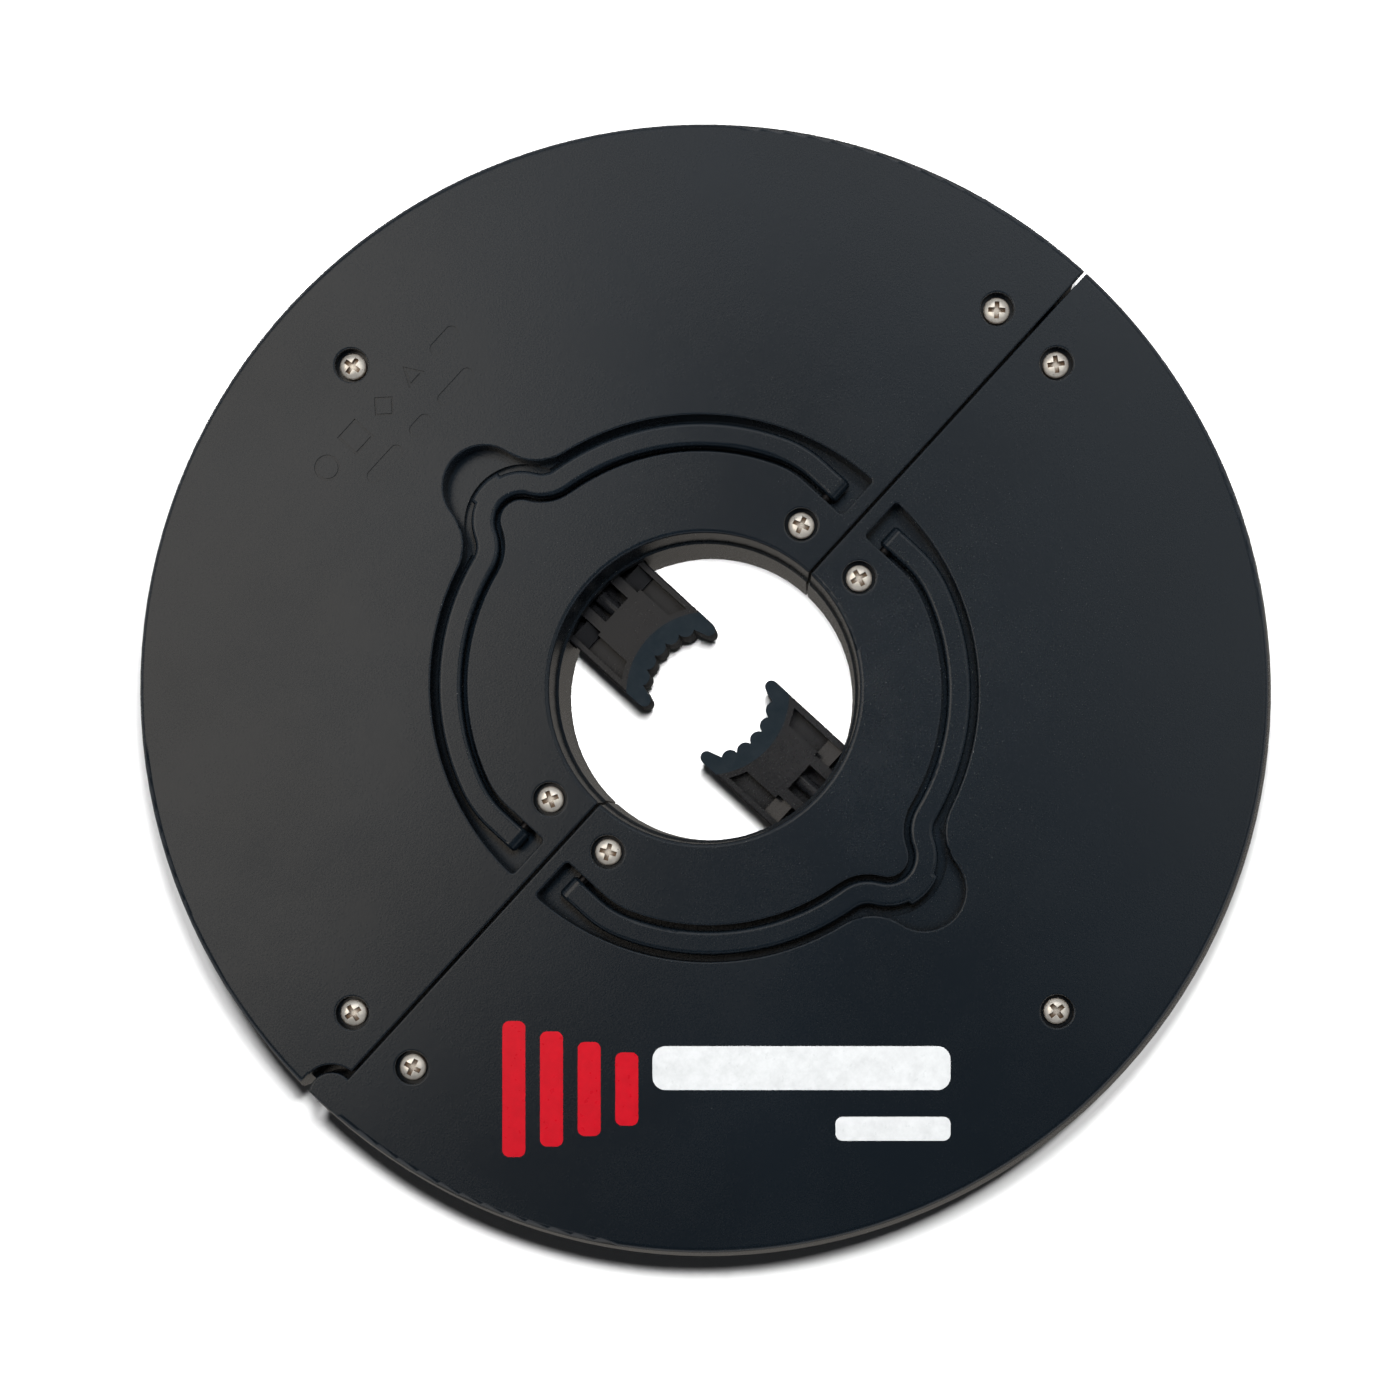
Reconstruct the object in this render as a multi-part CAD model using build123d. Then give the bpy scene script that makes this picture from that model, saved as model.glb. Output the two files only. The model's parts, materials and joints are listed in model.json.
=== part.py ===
from build123d import *
import math
import os

# Battery ring light in two hinged halves that clamps round a pole.
# Frame: +Z up through the hanger side, the split runs along X, the hinge is at -X.
# Half "a" lies at +Y and half "b" at -Y. The origin is the centre of the underside.

# ---- driving dimensions, in millimetres and degrees ----

OUTER_R = 110.0
THICKNESS = 27.0
SEAM_Z = 18.0
RIM_TOP_R = 107.9
WALL = 2.0
HALF_GAP = 0.25
RIM_ROUND = 1.2
HOLE_ROUND = 0.8
EDGE_ROUND = 0.35
EDGE_TOLERANCE = 0.1
BASE_CHAMFER = 1.0

# central hole, from the top face down
HOLE_R_TOP = 29.8
HOLE_R_COVER_LOW = 29.4
HOLE_R_SEAM = 28.9
HOLE_R_BASE = 28.5
HOLE_WALL_R = HOLE_R_TOP + WALL

# hinge between the halves
HINGE_X = -105.6
LUG_R = 4.4
KNUCKLE_R = 4.1
RECESS_R = 5.9
RECESS_EDGE_Y = 6.1
RECESS_WALL = 1.6
KNUCKLE_CLEAR_R = 4.7
KNUCKLE_Z = (6.3, 17.9)
LOWER_LUG_TOP = 6.0
UPPER_LUG_BASE = 18.2
WEB_X = (-107.0, -101.5)
HINGE_PIN_R = 1.5
HINGE_PIN_Z = (0.4, 25.0)
PIN_SEAT_CLEAR = 0.02
PIN_RUN_CLEAR = 0.05

# opening end of the split
NOTCH_X = 104.8
NOTCH_HALF_GAP = 0.35
NOTCH_DEPTH_Y = 3.6
NOTCH_WALL = 1.7
TONGUE_X = (97.5, 102.5)
TONGUE_Z = (8.0, 13.0)
TONGUE_REACH = 1.5
TONGUE_CLEAR = 0.5
MAGNET_X = 72.0
MAGNET_SIZE = (12.0, 3.0, 8.0)
MAGNET_BASE_Z = 5.0
CRADLE_WALL = 1.3
CRADLE_TOP_Z = 11.0

# screws that join each top cover to its housing
SCREW_PLACES = [(35.6, 7.5), (-35.6, 7.5), (91.3, 7.7), (-91.3, 7.7), (0.0, 91.5)]
SCREW_TURNS = [18, 63, 40, 75, 8]
SCREW_HEAD_R = 2.5
SCREW_HEAD_H = 1.6
SCREW_SHANK_R = 1.25
SCREW_LENGTH = 15.0
SCREW_BORE_R = 1.3
COUNTERBORE_R = 3.2
COUNTERBORE_DEPTH = 2.4
COVER_BOSS_R = 4.4
HOUSING_BOSS_R = 3.6
RECESS_CROSS = (3.3, 0.9, 1.0)
HEAD_SHOULDER = 0.55
HEAD_CROWN = (0.78, 0.88)
TIP_TAPER = 0.3

# hanger: a flat bail whose centre line is a leg, a blend, a long arc, a reverse arc and a bump
HANGER_LEG_X = 45.5
HANGER_BLEND_R = 19.6
HANGER_ARC_CENTRE = Vector(1.47, 2.46)
HANGER_ARC_R = 46.0
HANGER_REVERSE_R = 6.4
HANGER_BUMP_CENTRE = Vector(0.0, 47.5)
HANGER_BUMP_R = 7.4
HANGER_HALF_WIDTH = 2.3
HANGER_Z = (23.0, 26.6)
HANGER_ROUND = 0.9
HANGER_PIVOT_Y = 7.6
TAB_HALF_WIDTH = 3.7
TAB_PROUD = 0.75
TAB_ROUND = 0.3
HANGER_PIN_R = 1.0
HANGER_PIN_X = (40.0, 46.8)
PIN_BOSS_Y = (4.8, 10.4)
PIN_BOSS_REACH = 1.5

# slot that the hanger folds into, with its finger recess
SLOT_FLOOR_Z = 20.6
FINGER_FLOOR_Z = 22.0
SLOT_SHELL = 1.5
SLOT_END_Y = 2.95
SLOT_INNER_OFFSET = -3.35
SLOT_ARC_R = 49.65
SLOT_REVERSE_R = 10.0
SLOT_BUMP_R = 11.7
SLOT_CORNER_R = 0.8
FINGER_CENTRE = Vector(0.0, 57.0)
FINGER_R = 7.95

# plain sunk marks on cover "a": four outlined shapes and a bar, over three bars
MARK_DEPTH = 0.2
MARK_LINE = 0.5
MARK_SIZE = 5.0
MARK_ROW_Y = 81.6
MARK_SHAPE_X = (-17.6, -9.6, -1.6, 6.4)
MARK_BAR = (15.4, 3.4)
MARK_LOW_ROW_Y = 74.0
MARK_LOW_BARS = [(-9.6, 9.0), (0.4, 5.0), (10.4, 9.0)]
MARK_BAR_HEIGHT = 2.6

# sprung jaw in its tunnel
JAW_HALF_WIDTH = 10.7
JAW_Z = (5.0, 15.0)
JAW_FRONT_Y = 8.0
JAW_BACK_Y = 36.0
JAW_FACE_R = 16.0
JAW_FLOOR = 1.5
JAW_RAIL = 1.3
JAW_BRIDGE = 2.0
JAW_ROUND = 0.4
POCKET_FRONT_R = 17.1
POCKET_FRONT_X = 6.1
POCKET_BACK_X = 5.3
POCKET_STEP_Y = 23.6
WINDOW_HALF_WIDTH = 3.2
WINDOW_FRONT_Y = 24.2
RAMP_LENGTH = 3.6
RAMP_Z = (12.6, 13.8)
POCKET_WEB_Z = (9.8, 11.6)
POST_R = 1.45
POST_Z = 10.5
POST_END_Y = 44.0
STOP_HALF_WIDTH = 4.0
STOP_Y = (31.5, 35.0)
STOP_Z = 2.6
PAD_KEY_HALF_WIDTH = 5.0
PAD_KEY_R = 17.5
PAD_KEY_Z = (8.5, 11.5)
PAD_KEY_ROOT = 0.5
PAD_FACE_R = 12.85
PAD_BUMP_R = 1.7
PAD_BUMP_RING_R = 13.5
PAD_BUMP_STEP = 14.2
PAD_BUMPS_EACH_SIDE = 2
PAD_HORN_TIP = (9.4, 8.3, 1.25)
PAD_HORN_ROOT = (9.0, 11.0, 1.7)
TUNNEL_CLEAR = 0.3
TUNNEL_WALL = 1.5
TUNNEL_END_Y = 58.0
TUNNEL_FLOOR_Z = 4.8
TRENCH_HALF_WIDTH = 6.0
RETAINER_Z = (15.4, 17.0)
RETAINER_HALF_WIDTH = 18.0
RETAINER_Y = (33.0, 59.5)
RETAINER_CORNER_R = 2.5
RETAINER_SCREWS = [(x, y) for x in (-15.2, 15.2) for y in (37.0, 55.0)]
RETAINER_BOSS_R = 2.8
SMALL_SCREW_R = 0.95
SMALL_BORE_R = 1.0
SMALL_HEAD_R = 1.9
SMALL_HEAD_H = 1.2
SMALL_SCREW_LENGTH = 8.0
SMALL_CROSS = (2.1, 0.55, 0.7)
SPRING_R = 2.6
SPRING_WIRE_R = 0.35
SPRING_TURNS = 9

# lamp ring under each half
LENS_R = (97.0, 104.0)
LENS_FLANGE = 0.9
LENS_CLEAR = 0.15
LENS_Z = (0.3, 2.0, 3.2)
LENS_END_ANGLE = 6.5
LENS_END_CLEAR = 0.15
LENS_FLANGE_ANGLE = 0.5
BOARD_R = (95.3, 106.0)
BOARD_Z = (4.6, 6.2)
BOARD_END_ANGLE = 9.0
BOARD_RESTS = [(94.0, 96.0), (105.5, 107.0)]
LED_COUNT = 14
LED_SIZE = (3.5, 2.8, 1.2)
LED_R = 100.5

# two cells in line, their cradle, contacts and door
CELL_Y = 68.5
CELL_Z = 10.55
CELL_R = 7.1
CELL_LENGTH = 49.2
CELL_CAP_R = 2.75
CELL_CAP_LENGTH = 1.3
CELL_STARTS = (-48.3, 2.3)
CELL_EDGE_ROUND = 0.6
BAY_HALF_LENGTH = 53.7
BAY_HALF_WIDTH = 7.6
BAY_WALL = 1.2
BAY_REACH_R = 95.5
BAY_WALL_TOP = 12.0
BAY_END_TOP = 15.0
DOOR_OVERLAP = 2.0
DOOR_LEDGE_Z = (1.6, 3.0)
DOOR_THICKNESS = 1.4
DOOR_CLEAR = 0.25
DOOR_RIB = 1.2
GRIP_COUNT = 4
GRIP_HALF_WIDTH = 6.0
GRIP_NARROWING = 0.9
GRIP_START = 1.0
GRIP_STEP = 1.6
GRIP_SIZE = (0.8, 0.5)
CONTACT_SIZE = (0.4, 9.0, 13.0)
CONTACT_BASE_Z = 3.4
CONTACT_GAP = 0.1
CELL_SPRING_R = 3.2
CELL_SPRING_WIRE_R = 0.3
CELL_SPRING_TURNS = 4
WIRE_R = 0.6
WIRE_BEND_R = 1.8
WIRE_Z = 15.0
WIRE_RUN = 4.5
WIRE_LAND = (66.5, 73.5)
LEAD_SPACING = 4.0
LEAD_START_Y = 62.0

# power button under half "b" (given on the +Y side, like everything that is mirrored)
BUTTON_X = 62.0
BUTTON_Y = 26.0
BUTTON_R = 5.7
BUTTON_HOLE_R = 6.0
BUTTON_Z = (0.2, 2.0, 3.0, 4.1)
BUTTON_FLANGE_R = 7.0
BUTTON_STEM_R = 1.6
BUTTON_DISH_R = 9.5
BUTTON_DISH_DEPTH = 0.6
BUTTON_RING_R = (2.6, 3.6)
BUTTON_RING_DEPTH = 0.3
SWITCH_BOARD_SIZE = (28.0, 12.0, 1.6)
SWITCH_BOARD_Z = 9.0
SWITCH_BODY = (6.0, 6.0, 3.4)
PLUNGER_R = 1.7
PLUNGER_LENGTH = 0.6
BOARD_POST_X = 11.0
BOARD_POST_R = 2.2
BOARD_PIN_R = 0.9
BOARD_PIN_TOP = 11.4
BUTTON_SPRING_R = 5.2
BUTTON_SPRING_WIRE_R = 0.25
BUTTON_SPRING_TURNS = 3

# ---- helpers ----

ON_BASE = (Align.CENTER, Align.CENTER, Align.MIN)
UP = (0, 0, 1)


def block(x_range, y_range, z_range):
    """A box between the given limits."""
    sizes = [high - low for low, high in (x_range, y_range, z_range)]
    corner = Pos(x_range[0], y_range[0], z_range[0])
    return corner * Box(*sizes, align=(Align.MIN, Align.MIN, Align.MIN))


def disc(radius, z_low, z_high, centre=(0.0, 0.0)):
    """An upright cylinder between two heights."""
    return Pos(centre[0], centre[1], z_low) * Cylinder(radius, z_high - z_low, align=ON_BASE)


def taper(radius_low, radius_high, z_low, z_high):
    """An upright cone frustum on the Z axis, or a cylinder where the radii are the same."""
    if radius_low == radius_high:
        return disc(radius_low, z_low, z_high)
    return Pos(0, 0, z_low) * Cone(radius_low, radius_high, z_high - z_low, align=ON_BASE)


def slab(sketch, z_low, z_high):
    """A flat outline given thickness between two heights."""
    return extrude(Pos(0, 0, z_low) * sketch, amount=z_high - z_low, dir=UP)


def upper_side(solid, y_low):
    """The part of a solid beyond y_low."""
    reach = 2 * OUTER_R
    return solid & block((-reach, reach), (y_low, reach), (-reach, reach))


def solid_of(shapes):
    """One shape fused from a list."""
    total = shapes[0]
    for shape in shapes[1:]:
        total = total + shape
    return total


def group(shapes):
    """Separate solids kept together in one sub-part."""
    return Compound(children=[solid for shape in shapes for solid in shape.solids()])


def to_half(shape, half):
    """A shape made on the +Y side, moved to the half that it belongs to."""
    return shape if half == "a" else mirror(shape, about=Plane.XZ)


def arc_about(centre, start, end):
    """The shorter arc between two points round a centre."""
    middle = ((start - centre) + (end - centre)).normalized() * (start - centre).length
    return ThreePointArc(start, centre + middle, end)


def circles_meet(centre_a, radius_a, centre_b, radius_b):
    """The meeting point, on the +X side, of two circles."""
    gap = centre_b - centre_a
    along = (radius_a**2 - radius_b**2 + gap.length**2) / (2 * gap.length)
    across = math.sqrt(radius_a**2 - along**2)
    unit = gap.normalized()
    return centre_a + unit * along + Vector(unit.Y, -unit.X) * across


def towards(start, end, distance):
    """The point at a distance from start, in the direction of end."""
    return start + (end - start).normalized() * distance


def coil(radius, wire_radius, turns, length):
    """A compression spring along +Z from the origin."""
    path = Helix(pitch=length / turns, height=length, radius=radius)
    section = Plane(origin=path @ 0, z_dir=path % 0) * Circle(wire_radius)
    return sweep(section, path=path, is_frenet=True)


def cross_recess(size, z_top):
    """The cut of a cross-head screw."""
    length, width, depth = size
    arms = Rectangle(length, width) + Rectangle(width, length)
    return extrude(Pos(0, 0, z_top - depth) * arms, amount=2 * depth, dir=UP)


def pan_screw(head_r, head_h, shank_r, length, cross):
    """A pan-head self-tapping screw, its head's seat at the origin."""
    shoulder = HEAD_SHOULDER * head_h
    crown = (HEAD_CROWN[0] * head_r, HEAD_CROWN[1] * head_h)
    profile = make_face(
        [
            Line((0, 0), (head_r, 0)),
            Line((head_r, 0), (head_r, shoulder)),
            ThreePointArc((head_r, shoulder), crown, (0, head_h)),
            Line((0, head_h), (0, 0)),
        ]
    )
    head = revolve(Plane.XZ * profile, axis=Axis.Z)
    straight = length - 2 * shank_r
    shank = disc(shank_r, -straight, 0)
    tip = Pos(0, 0, -length) * Cone(TIP_TAPER * shank_r, shank_r, 2 * shank_r, align=ON_BASE)
    return head + shank + tip - cross_recess(cross, head_h)


# ---- hanger and slot outlines, drawn for +X and mirrored ----


def hanger_side(offset, end_y):
    """The +X side of a line parallel to the hanger's centre line, from its end to the bump's top."""
    blend_x = HANGER_LEG_X - HANGER_BLEND_R
    blend_gap = HANGER_ARC_R - HANGER_BLEND_R
    blend_rise = math.sqrt(blend_gap**2 - (blend_x - HANGER_ARC_CENTRE.X) ** 2)
    blend = Vector(blend_x, HANGER_ARC_CENTRE.Y + blend_rise)
    reverse = circles_meet(
        HANGER_ARC_CENTRE,
        HANGER_ARC_R + HANGER_REVERSE_R,
        HANGER_BUMP_CENTRE,
        HANGER_BUMP_R + HANGER_REVERSE_R,
    )
    leg_x = HANGER_LEG_X + offset
    leg_end = Vector(leg_x, end_y)
    leg_top = Vector(leg_x, blend.Y)
    arc_start = towards(HANGER_ARC_CENTRE, blend, HANGER_ARC_R + offset)
    arc_end = towards(HANGER_ARC_CENTRE, reverse, HANGER_ARC_R + offset)
    bump_start = towards(HANGER_BUMP_CENTRE, reverse, HANGER_BUMP_R + offset)
    bump_top = HANGER_BUMP_CENTRE + Vector(0, HANGER_BUMP_R + offset)
    edges = [
        Line(leg_end, leg_top),
        arc_about(blend, leg_top, arc_start),
        arc_about(HANGER_ARC_CENTRE, arc_start, arc_end),
        arc_about(reverse, arc_end, bump_start),
        arc_about(HANGER_BUMP_CENTRE, bump_start, bump_top),
    ]
    return edges, leg_end, bump_top


def slot_outer_side():
    """The +X side of the slot's outer wall, round to the top of the finger recess."""
    reverse = circles_meet(
        HANGER_ARC_CENTRE,
        SLOT_ARC_R + SLOT_REVERSE_R,
        FINGER_CENTRE,
        FINGER_R + SLOT_REVERSE_R,
    )
    end_x = math.sqrt(SLOT_ARC_R**2 - (SLOT_END_Y - HANGER_ARC_CENTRE.Y) ** 2)
    start = Vector(HANGER_ARC_CENTRE.X + end_x, SLOT_END_Y)
    arc_end = towards(HANGER_ARC_CENTRE, reverse, SLOT_ARC_R)
    recess_start = towards(FINGER_CENTRE, reverse, FINGER_R)
    recess_top = FINGER_CENTRE + Vector(0, FINGER_R)
    edges = [
        arc_about(HANGER_ARC_CENTRE, start, arc_end),
        arc_about(reverse, arc_end, recess_start),
        arc_about(FINGER_CENTRE, recess_start, recess_top),
    ]
    return edges, start, recess_top


def mirrored_outline(outer, inner):
    """A closed outline from its outer and inner +X sides and their mirror images."""
    outer_edges, outer_end, outer_top = outer
    inner_edges, inner_end, inner_top = inner
    closing = [Line(outer_top, inner_top), Line(inner_end, outer_end)]
    side = make_face(outer_edges + inner_edges + closing)
    return side + mirror(side, about=Plane.YZ)


def slot_outline():
    """The whole opening in the top face: the slot with its finger recess."""
    inner = hanger_side(SLOT_INNER_OFFSET, SLOT_END_Y)
    outline = mirrored_outline(slot_outer_side(), inner)
    ends = outline.vertices().filter_by(lambda vertex: vertex.Y < SLOT_END_Y + EDGE_TOLERANCE)
    return fillet(ends, SLOT_CORNER_R)


def deep_slot_outline():
    """The part of the opening that takes the hanger, without the shelf of the finger recess."""
    reach = Pos(HANGER_BUMP_CENTRE) * Circle(SLOT_BUMP_R)
    for side in (-1, 1):
        reach = reach + Pos(side * HANGER_ARC_CENTRE.X, HANGER_ARC_CENTRE.Y) * Circle(SLOT_ARC_R)
    return slot_outline() & reach


def cover_marks():
    """Four outlined shapes and a bar, with a row of bars below."""
    radius = MARK_SIZE / 2
    inner = radius - MARK_LINE
    marks = [
        Circle(radius) - Circle(inner),
        Rectangle(MARK_SIZE, MARK_SIZE) - Rectangle(2 * inner, 2 * inner),
        RegularPolygon(radius, 4) - RegularPolygon(inner, 4),
        RegularPolygon(radius, 3, rotation=90) - RegularPolygon(radius - 2 * MARK_LINE, 3, rotation=90),
    ]
    placed = [Pos(x, MARK_ROW_Y) * mark for x, mark in zip(MARK_SHAPE_X, marks)]
    bar_x, bar_half = MARK_BAR
    placed.append(Pos(bar_x, MARK_ROW_Y) * SlotOverall(2 * bar_half, MARK_BAR_HEIGHT))
    for x, length in MARK_LOW_BARS:
        placed.append(Pos(x, MARK_LOW_ROW_Y) * SlotOverall(length, MARK_BAR_HEIGHT))
    return placed


# ---- sub-parts, all drawn on the +Y side ----


def half_ring(rim, hole, z_low, z_high):
    """One half's outer block, with its share of the central hole; radii at the bottom and the top."""
    return upper_side(taper(*rim, z_low, z_high) - taper(*hole, z_low, z_high), HALF_GAP)


def inner_space(rim, hole_wall_r, z_low, z_high):
    """The space inside one half's walls."""
    space = taper(rim[0] - WALL, rim[1] - WALL, z_low, z_high) - disc(hole_wall_r, z_low, z_high)
    return upper_side(space, HALF_GAP + WALL)


def hinge_disc(radius, z_low, z_high):
    return disc(radius, z_low, z_high, (HINGE_X, 0.0))


def hinge_recess(z_low, z_high):
    """The clearance that half "a" gives half "b"'s lugs, open to the rim."""
    out_to_rim = block((-OUTER_R - WALL, HINGE_X), (-WALL, RECESS_EDGE_Y), (z_low, z_high))
    return hinge_disc(RECESS_R, z_low, z_high) + out_to_rim


def hinge_recess_wall(z_low, z_high):
    out_to_rim = block((-OUTER_R, HINGE_X), (0, RECESS_EDGE_Y + RECESS_WALL), (z_low, z_high))
    return hinge_disc(RECESS_R + RECESS_WALL, z_low, z_high) + out_to_rim


def notch_wall(z_low, z_high):
    depth = NOTCH_DEPTH_Y + NOTCH_WALL
    return block((NOTCH_X - NOTCH_WALL, OUTER_R), (0, depth), (z_low, z_high))


def notch_cut(half, z_low, z_high):
    """The thumbnail notch at the opening end: a slit on top, wider below in half "a"."""
    reach = (NOTCH_X, OUTER_R + WALL)
    cut = block(reach, (-WALL, NOTCH_HALF_GAP), (z_low, z_high))
    roof = min(z_high, THICKNESS - WALL)
    if half == "a":
        cut = cut + block(reach, (-WALL, NOTCH_DEPTH_Y), (z_low, roof))
    return cut


def hanger_pin_bores(radius):
    """Bores along X for both hanger pins, running inwards from the legs."""
    bores = []
    for side in (-1, 1):
        middle = side * (HANGER_PIN_X[0] + HANGER_PIN_X[1]) / 2
        length = HANGER_PIN_X[1] - HANGER_PIN_X[0]
        place = Pos(middle, HANGER_PIVOT_Y, sum(HANGER_Z) / 2)
        bores.append(place * Rot(0, 90, 0) * Cylinder(radius, length))
    return bores


def top_edges(cover):
    """The sharp edges of the top face: all but the rim's and the hole's, which are round already."""
    smooth = (RIM_TOP_R - RIM_ROUND, HOLE_R_TOP)
    margin = HOLE_ROUND + EDGE_TOLERANCE
    edges = cover.edges().filter_by(lambda edge: edge.bounding_box().min.Z > THICKNESS - PIN_SEAT_CLEAR)
    arcs = edges.filter_by(GeomType.CIRCLE)
    return edges - arcs.filter_by(lambda arc: any(abs(arc.radius - r) < margin for r in smooth))


def top_cover(half):
    roof_z = THICKNESS - WALL
    rim = (OUTER_R, RIM_TOP_R)
    shell = half_ring(rim, (HOLE_R_COVER_LOW, HOLE_R_TOP), SEAM_Z, THICKNESS)
    top_arcs = shell.edges().filter_by(GeomType.CIRCLE).group_by(Axis.Z)[-1].sort_by(SortBy.RADIUS)
    shell = fillet(top_arcs[-1], RIM_ROUND)
    top_arcs = shell.edges().filter_by(GeomType.CIRCLE).group_by(Axis.Z)[-1].sort_by(SortBy.RADIUS)
    shell = fillet(top_arcs[0], HOLE_ROUND)

    outline = slot_outline()
    tub_base = SLOT_FLOOR_Z - SLOT_SHELL
    kept = [slab(offset(outline, SLOT_SHELL), tub_base, roof_z)]
    kept += [disc(COVER_BOSS_R, SEAM_Z, roof_z, place) for place in SCREW_PLACES]
    for side in (-1, 1):
        x_range = sorted((side * (HANGER_PIN_X[0] - PIN_BOSS_REACH), side * HANGER_LEG_X))
        kept.append(block(x_range, PIN_BOSS_Y, (tub_base, roof_z)))
    if half == "a":
        kept.append(hinge_recess_wall(SEAM_Z, roof_z))
        kept.append(notch_wall(SEAM_Z, roof_z))
    else:
        kept.append(hinge_disc(KNUCKLE_CLEAR_R + RECESS_WALL, SEAM_Z, roof_z))
    cover = shell - (inner_space(rim, HOLE_WALL_R, SEAM_Z, roof_z) - solid_of(kept))

    cuts = [slab(outline, FINGER_FLOOR_Z, THICKNESS)]
    cuts.append(slab(deep_slot_outline(), SLOT_FLOOR_Z, FINGER_FLOOR_Z))
    for place in SCREW_PLACES:
        cuts.append(disc(COUNTERBORE_R, THICKNESS - COUNTERBORE_DEPTH, THICKNESS, place))
        cuts.append(disc(SCREW_BORE_R, SEAM_Z, THICKNESS, place))
    cuts += hanger_pin_bores(HANGER_PIN_R + PIN_RUN_CLEAR)
    cover = cover - solid_of(cuts)
    notch = notch_cut(half, SEAM_Z, THICKNESS)
    if half == "a":
        cover = cover - notch - hinge_recess(SEAM_Z, THICKNESS)
        cover = fillet(top_edges(cover), EDGE_ROUND)
        return cover - solid_of([slab(mark, THICKNESS - MARK_DEPTH, THICKNESS) for mark in cover_marks()])
    lug = hinge_disc(LUG_R, UPPER_LUG_BASE, THICKNESS) & taper(*rim, SEAM_Z, THICKNESS)
    lug = fillet(lug.edges().group_by(Axis.Z)[-1], EDGE_ROUND)
    cover = fillet(top_edges(cover), EDGE_ROUND) - notch + lug
    cover = cover - hinge_disc(KNUCKLE_CLEAR_R, SEAM_Z, UPPER_LUG_BASE)
    return cover - hinge_disc(HINGE_PIN_R + PIN_SEAT_CLEAR, SEAM_Z, HINGE_PIN_Z[1])


def tunnel_block():
    """The channel that the jaw slides in, with its retainer bosses."""
    outer = JAW_HALF_WIDTH + TUNNEL_CLEAR + TUNNEL_WALL
    front = HOLE_R_BASE
    end = TUNNEL_END_Y + TUNNEL_WALL
    body = block((-outer, outer), (front, end), (WALL, RETAINER_Z[0]))
    bosses = [disc(RETAINER_BOSS_R, WALL, RETAINER_Z[0], place) for place in RETAINER_SCREWS]
    trench_y = (HOLE_R_SEAM + WALL, TUNNEL_END_Y)
    trench = block((-TRENCH_HALF_WIDTH, TRENCH_HALF_WIDTH), trench_y, (WALL, TUNNEL_FLOOR_Z))
    return body + solid_of(bosses) - jaw_channel() - trench


def jaw_channel():
    """The space that the jaw slides in, through the inner wall."""
    inner = JAW_HALF_WIDTH + TUNNEL_CLEAR
    return block((-inner, inner), (0, TUNNEL_END_Y), (TUNNEL_FLOOR_Z, RETAINER_Z[0]))


def bay_frame(half_length, half_width, z_low, z_high):
    """A rectangular block centred on the row of cells."""
    y_range = (CELL_Y - half_width, CELL_Y + half_width)
    return block((-half_length, half_length), y_range, (z_low, z_high))


def battery_bay():
    """Walls round the two cells, on a thickened floor that holds the door's ledge."""
    outer_length = BAY_HALF_LENGTH + BAY_WALL
    outer_width = BAY_HALF_WIDTH + BAY_WALL
    pad = bay_frame(outer_length + DOOR_OVERLAP, outer_width + BAY_WALL, WALL, DOOR_LEDGE_Z[1])
    pad = pad & disc(BAY_REACH_R, WALL, DOOR_LEDGE_Z[1])
    walls = bay_frame(outer_length, outer_width, WALL, BAY_END_TOP)
    walls = walls - bay_frame(BAY_HALF_LENGTH, BAY_HALF_WIDTH, WALL, BAY_END_TOP)
    lowered = bay_frame(BAY_HALF_LENGTH, outer_width, BAY_WALL_TOP, BAY_END_TOP)
    return pad + (walls - lowered)


def battery_door_opening():
    through = bay_frame(BAY_HALF_LENGTH, BAY_HALF_WIDTH, 0, DOOR_LEDGE_Z[1])
    rabbet = bay_frame(BAY_HALF_LENGTH + DOOR_OVERLAP, BAY_HALF_WIDTH + BAY_WALL, 0, DOOR_LEDGE_Z[0])
    return through + rabbet


def magnet_cradle():
    length, depth = MAGNET_SIZE[:2]
    half_length = length / 2 + CRADLE_WALL
    back = HALF_GAP + WALL + depth
    x_range = (MAGNET_X - half_length, MAGNET_X + half_length)
    return block(x_range, (0, back + CRADLE_WALL), (WALL, CRADLE_TOP_Z))


def magnet_space(clear):
    length, depth, height = MAGNET_SIZE
    front = HALF_GAP + WALL
    x_range = (MAGNET_X - length / 2 - clear, MAGNET_X + length / 2 + clear)
    z_range = (MAGNET_BASE_Z, MAGNET_BASE_Z + height)
    return block(x_range, (front, front + depth + clear), z_range)


def ring_sector(radii, end_angle, z_low, z_high):
    """A band round the rim, stopping short of the split at both ends."""
    band = disc(radii[1], z_low, z_high) - disc(radii[0], z_low, z_high)
    reach = 2 * OUTER_R
    end_x = reach * math.cos(math.radians(end_angle))
    end_y = reach * math.sin(math.radians(end_angle))
    wedge = [(0, 0), (end_x, end_y), (reach, reach), (-reach, reach), (-end_x, end_y)]
    return band & slab(make_face(Polyline(*wedge, close=True)), z_low, z_high)


def button_posts():
    """Posts that carry the switch board, with pins through it."""
    posts = []
    for side in (-1, 1):
        place = (BUTTON_X + side * BOARD_POST_X, BUTTON_Y)
        posts.append(disc(BOARD_POST_R, WALL, SWITCH_BOARD_Z, place))
        posts.append(disc(BOARD_PIN_R, SWITCH_BOARD_Z, BOARD_PIN_TOP, place))
    return solid_of(posts)


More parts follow.
